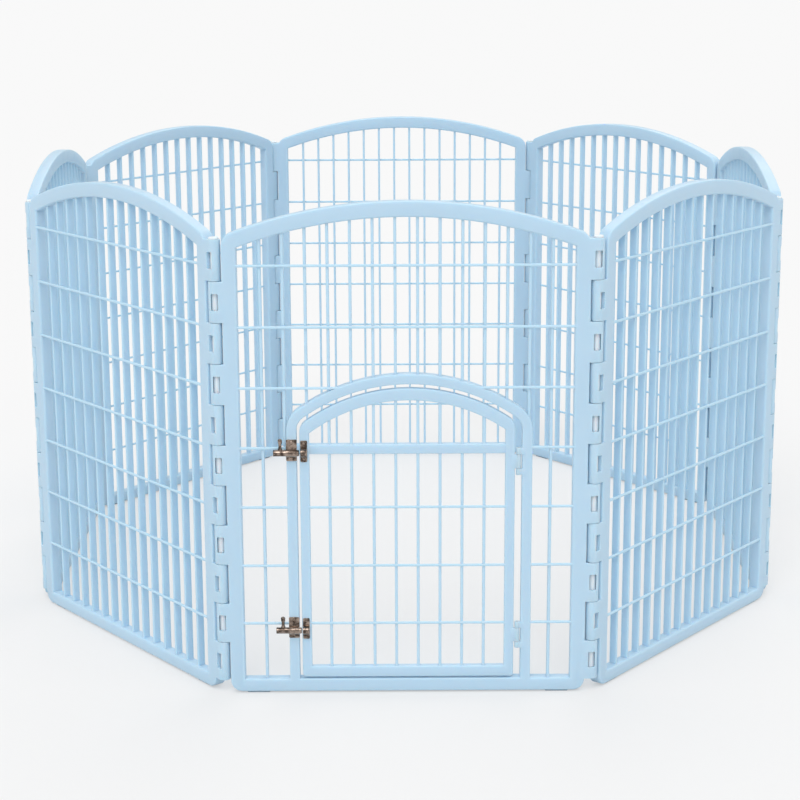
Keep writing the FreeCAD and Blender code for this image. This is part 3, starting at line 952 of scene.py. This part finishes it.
def screw():
    """Pan-headed screw with a cross slot, its seat at z = 0."""
    radius = door_sizes().screw_head
    profile = [(radius * 0.97, 0), (radius, SCREW_RIM)]
    profile += [(radius * math.cos(a), SCREW_RIM + SCREW_DOME * math.sin(a))
                for a in (0.3, 0.6, 0.9, 1.2, 1.45)]
    head = turned("screw", profile, 24)
    for turn in (0, math.pi / 2):
        slot = add("cube", "slot", size=1.0, scale=(radius * 1.25, SCREW_SLOT, 1.6 * MM),
                   location=(0, 0, 1.6 * MM), rotation=(0, 0, turn))
        combine(head, slot, "DIFFERENCE")
    return head


class PEN_OT_latches(bpy.types.Operator):
    """Model the two slide-bolt latches with their screws"""
    bl_idname = "pen.latches"
    bl_label = "Latches"

    def execute(self, context):
        head = screw()
        outwards = Matrix.Rotation(math.pi / 2, 4, "X")
        for place in LATCHES:
            for make, name, node, body in (
                    (barrel_plate, "_barrel_plate", "_latch_plate", "front"),
                    (keeper_strap, "_strap_keeper", "_latch_keeper", "door"),
                    (sliding_bolt, "_sliding_bolt", "_latch_bolt", place + "_bolt")):
                settle(make(place), place + name, body, "latch_chrome", FRONT, [place + node])
            for part, body in (("plate", "front"), ("keeper", "door")):
                low, high, x, back = plate_box(place, part)
                pair = []
                for i, z in enumerate((low.z + SCREW_INSET, high.z - SCREW_INSET)):
                    turn = Matrix.Rotation(0.5 + 0.9 * i, 4, "Y")
                    stand = Matrix.Translation((x, back - PLATE, z)) @ turn @ outwards
                    pair.append(copy_of(head, f"{place}_{part}_{i}", stand))
                settle(join(pair), f"{place}_{part}_screws", body, "latch_chrome", FRONT)
        drop(head)
        return {"FINISHED"}


class PEN_OT_hinge_pins(bpy.types.Operator):
    """Turn the two steel pins of the door"""
    bl_idname = "pen.hinge_pins"
    bl_label = "Door Hinge Pins"

    def execute(self, context):
        for place in LATCHES:
            node = place + "_door_hinge_pin"
            low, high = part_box(node)
            radius = (high.x - low.x) / 2
            profile = rounded_end(radius, low.z, PIN_ROUND, False)
            profile += rounded_end(radius, high.z, PIN_ROUND, True)
            pin = turned(node, profile, 24)
            settle(pin, place + "_steel_pin", "front", "pin_steel",
                   Matrix.Translation(axis_of(node)), [node])
        return {"FINISHED"}


# Finishes

def new_group(name, inputs, outputs):
    """A shader node group of numbers, with its input node and its output node."""
    group = bpy.data.node_groups.new(name, "ShaderNodeTree")
    for socket, default in inputs.items():
        made = group.interface.new_socket(socket, in_out="INPUT", socket_type="NodeSocketFloat")
        made.default_value = default
    for socket in outputs:
        group.interface.new_socket(socket, in_out="OUTPUT", socket_type="NodeSocketFloat")
    return group, group.nodes.new("NodeGroupInput"), group.nodes.new("NodeGroupOutput")


def feed(made, **inputs):
    """Set a node's inputs to values, or link them from other nodes' outputs.

    i0 is the node's first input, and From_Min its input From Min.
    """
    for name, value in inputs.items():
        socket = made.inputs[int(name[1:]) if name[1:].isdigit() else name.replace("_", " ")]
        if isinstance(value, bpy.types.NodeSocket):
            made.id_data.links.new(value, socket)
        else:
            socket.default_value = value


def node(tree, kind, settings=None, **inputs):
    made = tree.nodes.new("ShaderNode" + kind)
    for name, value in (settings or {}).items():
        setattr(made, name, value)
    feed(made, **inputs)
    return made


def group_node(tree, group, **inputs):
    return node(tree, "Group", {"node_tree": bpy.data.node_groups[group]}, **inputs)


def noise(tree, place, scale, detail, roughness=0.5, distortion=0.0):
    return node(tree, "TexNoise", Vector=place, Scale=scale, Detail=detail, Roughness=roughness,
                Distortion=distortion).outputs["Fac"]


def spread(tree, value, low, high, to_low, to_high):
    """A value's range stretched to another range."""
    return node(tree, "MapRange", {"clamp": True}, Value=value, From_Min=low, From_Max=high,
                To_Min=to_low, To_Max=to_high).outputs["Result"]


def edge_group():
    """Share of edge with a painted highlight and rubbed wear, from how far a softened normal leaves
    the face's own.
    """
    group, start, end = new_group("Rubbed edges", {"Reach": 1.5 * MM}, ["Edge"])
    soft = node(group, "Bevel", {"samples": 4}, Radius=start.outputs["Reach"])
    own = node(group, "NewGeometry")
    turn = node(group, "VectorMath", {"operation": "DOT_PRODUCT"}, i0=soft.outputs["Normal"],
                i1=own.outputs["Normal"])
    place = node(group, "TexCoord").outputs["Object"]
    # Edges found here are painted as a highlight, partly as rubbed wear
    sheen_and_wear = spread(group, turn.outputs["Value"], 0.995, 0.86, 0.0, 1.0)
    patchy = spread(group, noise(group, place, 45.0, 4.0), 0.3, 0.7, 0.55, 1.0)
    mask = node(group, "Math", {"operation": "MULTIPLY"}, i0=sheen_and_wear, i1=patchy)
    feed(end, Edge=mask.outputs["Value"])


def skin_group():
    """Moulded or plated skin: slow tone, fine grain and faint handling marks."""
    group, start, end = new_group("Skin", {"Tone size": 6.0, "Grain size": 900.0},
                                  ["Tone", "Grain", "Marks"])
    place = node(group, "TexCoord").outputs["Object"]
    marks = noise(group, place, 30.0, 6.0, 0.62, 0.8)
    feed(end, Tone=noise(group, place, start.outputs["Tone size"], 2.0),
         Grain=noise(group, place, start.outputs["Grain size"], 2.0, 0.6),
         Marks=spread(group, marks, 0.45, 0.75, 0.0, 1.0))


def finish_of(name):
    """An empty material with its Principled shader."""
    material = bpy.data.materials.new(name)
    material.use_nodes = True
    return material.node_tree, material.node_tree.nodes["Principled BSDF"]


def blend_colour(tree, share, first, second):
    """A colour between two. The Mix node's colours are its inputs 6 and 7 and its output 2."""
    return node(tree, "Mix", {"data_type": "RGBA"}, i0=share, i6=first, i7=second).outputs[2]


def shade(colour_value, factor):
    return (*(min(1.0, channel * factor) for channel in colour_value[:3]), 1.0)


def dress(shader, skin, base, rough, rougher, bump, relief):
    """Give a shader its colour, its roughness with marks on it, and its grain."""
    tree = shader.id_data
    grain = node(tree, "Bump", Strength=bump, Distance=relief, Height=skin.outputs["Grain"])
    feed(shader, Base_Color=base, Normal=grain.outputs["Normal"],
         Roughness=spread(tree, skin.outputs["Marks"], 0.0, 1.0, rough, rougher))


def plastic_finish(name, body, edge, tone_range, rough, bump):
    """Satin moulded plastic: slow tone, edges painted paler as a highlight and partly as rubbed
    wear, orange-peel grain and faint marks.
    """
    tree, shader = finish_of(name)
    skin = group_node(tree, "Skin", Tone_size=5.0, Grain_size=650.0)
    edges = group_node(tree, "Rubbed edges", Reach=1.6 * MM)
    base = blend_colour(tree, skin.outputs["Tone"], shade(body, 1 - tone_range),
                        shade(body, 1 + tone_range))
    # Paler edges: a painted highlight, partly rubbed wear
    paler = spread(tree, edges.outputs["Edge"], 0.0, 1.0, 0.0, 0.45)
    dress(shader, skin, blend_colour(tree, paler, base, edge), rough - 0.04, rough + 0.1, bump,
          0.05 * MM)
    feed(shader, Specular_IOR_Level=0.4, IOR=1.49, Subsurface_Weight=0.55,
         Subsurface_Radius=(0.6, 0.9, 1.0), Subsurface_Scale=8 * MM)


def metal_finish(name, bright, dark, dark_share, rough):
    """Plated metal with darker patches of painted dark reflection, edges painted brighter as a
    highlight and partly as rubbed wear, and fine scratches.
    """
    tree, shader = finish_of(name)
    skin = group_node(tree, "Skin", Tone_size=110.0, Grain_size=1400.0)
    edges = group_node(tree, "Rubbed edges", Reach=0.6 * MM)
    # Darker patches: painted dark reflections in the plating
    patches = spread(tree, skin.outputs["Tone"], 0.42, 0.62, 0.0, dark_share)
    base = blend_colour(tree, patches, bright, dark)
    # Brighter edges: a painted highlight, partly rubbed wear
    dress(shader, skin, blend_colour(tree, edges.outputs["Edge"], base, shade(bright, 1.5)),
          rough, rough + 0.18, 0.25, 0.03 * MM)
    feed(shader, Metallic=1.0)


class PEN_OT_finishes(bpy.types.Operator):
    """Make the plastic, rubber and metal finishes"""
    bl_idname = "pen.finishes"
    bl_label = "Finishes"

    def execute(self, context):
        colours = context.scene.pen_colours
        edge_group()
        skin_group()
        # The second colour of each plastic paints its edges paler: a painted highlight, partly
        # rubbed wear
        plastic_finish("Pale plastic", colours.plastic, colours.plastic_edge_sheen_and_wear, 0.03, 0.36, 0.35)
        plastic_finish("Rod plastic", colours.rod, shade(colours.rod, 1.1), 0.02, 0.42, 0.3)
        plastic_finish("Foot rubber", colours.rubber, shade(colours.rubber, 1.15), 0.06, 0.74, 0.8)
        # The latch and pin metals get painted dark reflections in patches, and brighter edges that
        # are a painted highlight, partly rubbed wear
        metal_finish("Latch metal", colours.chrome, colours.dark_reflection, 0.85, 0.2)
        metal_finish("Pin steel", colours.steel, shade(colours.steel, 0.6), 0.5, 0.28)
        return {"FINISHED"}


# Studio

BACKDROP = 0.947            # level of the pale ground that the camera sees
FLOOR_SEEN = 0.42           # grey of the floor on which the camera sees the shadow
FLOOR_LIGHT = 1.23          # light on the open floor
FLOOR_RADIUS = 70.0
FLOOR_MIDDLE = 8.0          # radius of the floor's inner face
SKY_LIGHT = 0.85
SKY_IN_GLOSS = 0.62         # level of the sky in reflections
LAMPS = (("Front softbox", (-0.4, -2.4, 2.9), 1.2), ("Back softbox", (0.6, 2.4, 2.2), 0.4))
LAMP_SPREAD = math.radians(40)
EYE = (-0.0204, -4.0445, 1.2701)
YAW, DOWN, ROLL = 0.0028, 0.2275, -0.0041
LENS = 87.67                # focal length in millimetres, on a sensor 36 wide


class PEN_OT_studio(bpy.types.Operator):
    """Lay the pale floor, set the soft lamps and the camera"""
    bl_idname = "pen.studio"
    bl_label = "Studio"

    def execute(self, context):
        scene = context.scene
        floor = add("circle", "floor", vertices=96, radius=FLOOR_RADIUS, fill_type="NGON")
        edit(floor, "FACE")
        take_all()
        bpy.ops.mesh.inset(thickness=FLOOR_RADIUS - FLOOR_MIDDLE)
        finish_edit()
        tree, shader = finish_of("Studio floor")
        seen = node(tree, "LightPath").outputs["Is Camera Ray"]
        ground = blend_colour(tree, seen, scene.pen_colours.floor, shade((FLOOR_SEEN,) * 3, 1))
        glow = spread(tree, seen, 0.0, 1.0, 0.0, BACKDROP - FLOOR_SEEN * FLOOR_LIGHT)
        feed(shader, Base_Color=ground, Roughness=0.9, Specular_IOR_Level=0.0,
             Emission_Color=(1, 1, 1, 1), Emission_Strength=glow)
        floor.data.materials.append(bpy.data.materials["Studio floor"])

        world = bpy.data.worlds.new("Studio light")
        world.use_nodes = True
        scene.world = world
        tree = world.node_tree
        path = node(tree, "LightPath")
        unseen = spread(tree, path.outputs["Is Glossy Ray"], 0.0, 1.0, SKY_LIGHT, SKY_IN_GLOSS)
        feed(tree.nodes["Background"], Color=(1, 1, 1, 1),
             Strength=spread(tree, path.outputs["Is Camera Ray"], 0.0, 1.0, unseen, BACKDROP))

        for name, place, level in LAMPS:
            lamp = bpy.data.lights.new(name, "SUN")
            lamp.angle = LAMP_SPREAD
            lamp.energy = level
            turn = (-Vector(place)).to_track_quat("-Z", "Y").to_matrix().to_4x4()
            put(name, lamp).matrix_world = Matrix.Translation(place) @ turn

        lens = bpy.data.cameras.new("Camera")
        lens.lens = LENS
        lens.sensor_width = 36.0
        lens.clip_end = 200.0
        scene.camera = put("Camera", lens)
        scene.camera.matrix_world = (
            Matrix.Translation(EYE) @ Matrix.Rotation(-YAW, 4, "Z")
            @ Matrix.Rotation(math.pi / 2 - DOWN, 4, "X") @ Matrix.Rotation(ROLL, 4, "Z"))
        scene.view_settings.view_transform = "Standard"
        return {"FINISHED"}


STEPS = (PEN_OT_finishes, PEN_OT_studio, PEN_OT_plain_panels, PEN_OT_door_panel, PEN_OT_door,
         PEN_OT_rods, PEN_OT_feet, PEN_OT_latches, PEN_OT_hinge_pins)


class PEN_PT_sidebar(bpy.types.Panel):
    """Steps and sizes of the pen"""
    bl_idname = "PEN_PT_sidebar"
    bl_label = "Pet Pen"
    bl_space_type = "VIEW_3D"
    bl_region_type = "UI"
    bl_category = "Pet Pen"

    def draw(self, context):
        for step in STEPS:
            self.layout.operator(step.bl_idname)
        scene = context.scene
        for group in (scene.pen_panel, scene.pen_door, scene.pen_colours):
            column = self.layout.column(align=True)
            for name in type(group).__annotations__:
                column.prop(group, name)


CLASSES = (PenPanelSizes, PenDoorSizes, PenColours, *STEPS, PEN_PT_sidebar)


def register():
    for made in CLASSES:
        bpy.utils.register_class(made)
    bpy.types.Scene.pen_panel = PointerProperty(type=PenPanelSizes)
    bpy.types.Scene.pen_door = PointerProperty(type=PenDoorSizes)
    bpy.types.Scene.pen_colours = PointerProperty(type=PenColours)


def unregister():
    del bpy.types.Scene.pen_colours
    del bpy.types.Scene.pen_door
    del bpy.types.Scene.pen_panel
    for made in reversed(CLASSES):
        bpy.utils.unregister_class(made)


def main():
    register()
    for step in STEPS:
        getattr(bpy.ops.pen, step.bl_idname.split(".")[1])()


if __name__ == "__main__":
    main()
